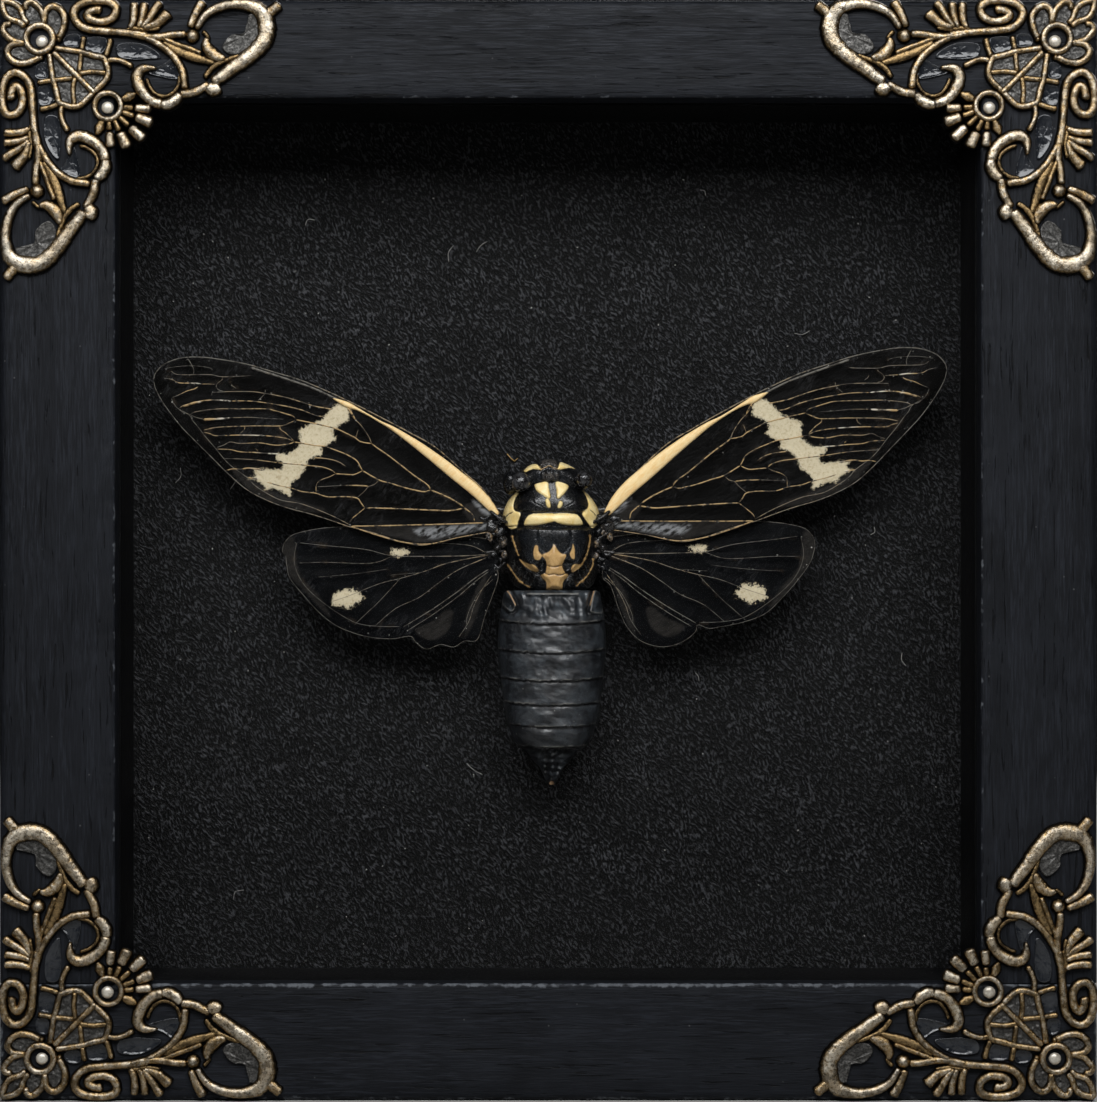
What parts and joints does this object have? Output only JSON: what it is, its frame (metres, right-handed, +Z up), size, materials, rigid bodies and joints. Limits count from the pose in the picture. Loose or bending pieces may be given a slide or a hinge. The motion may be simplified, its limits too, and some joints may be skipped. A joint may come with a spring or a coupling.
{
  "type": "framed cicada specimen",
  "caption": "Square black wooden shadow-box frame with filigree metal corners, holding one spread cicada on textured black board behind clear glass.",
  "frame": {"origin": "centre of the frame's footprint, at the underside of the bottom rail", "axes": "-Y is the glazed front, +X is to the viewer's right, +Z is up"},
  "size_m": [0.1524, 0.0306, 0.1528],
  "materials": {
    "frame_paint": "worn matt black paint over fine-grained wood",
    "pane": "clear picture glass",
    "spacer_board": "matt black painted board",
    "backing": "black grained leather-look paper, dusty",
    "hardboard": "raw brown hardboard",
    "antique_bronze": "stamped brass with a dark antique patina and rubbed high spots",
    "steel": "dull zinc-plated steel",
    "insect_shell": "glossy black shell with yellow and tan marks",
    "insect_abdomen": "dark slate shell with a pale dusty bloom",
    "insect_wing": "smoky dark membrane with tan veins and a cream band"
  },
  "bodies": {
    "root": {"frame_rail_bottom": "frame_paint", "frame_rail_top": "frame_paint", "frame_rail_left": "frame_paint", "frame_rail_right": "frame_paint", "glass_pane": "pane", "spacer_bottom": "spacer_board", "spacer_top": "spacer_board", "spacer_left": "spacer_board", "spacer_right": "spacer_board", "backing_sheet": "backing", "back_panel": "hardboard", "filigree_corner_top_left": "antique_bronze", "filigree_corner_top_right": "antique_bronze", "filigree_corner_bottom_left": "antique_bronze", "filigree_corner_bottom_right": "antique_bronze", "nail_top_left_outer": "steel", "nail_top_left_inner": "steel", "nail_top_right_outer": "steel", "nail_top_right_inner": "steel", "nail_bottom_left_outer": "steel", "nail_bottom_left_inner": "steel", "nail_bottom_right_outer": "steel", "nail_bottom_right_inner": "steel", "sawtooth_hanger": "steel", "turn_button_left_lower": "steel", "turn_button_left_upper": "steel", "turn_button_right_lower": "steel", "turn_button_right_upper": "steel", "cicada_head": "insect_shell", "cicada_thorax": "insect_shell", "cicada_abdomen": "insect_abdomen", "forewing_left": "insect_wing", "forewing_right": "insect_wing", "hindwing_left": "insect_wing", "hindwing_right": "insect_wing"}
  },
  "joints": []
}
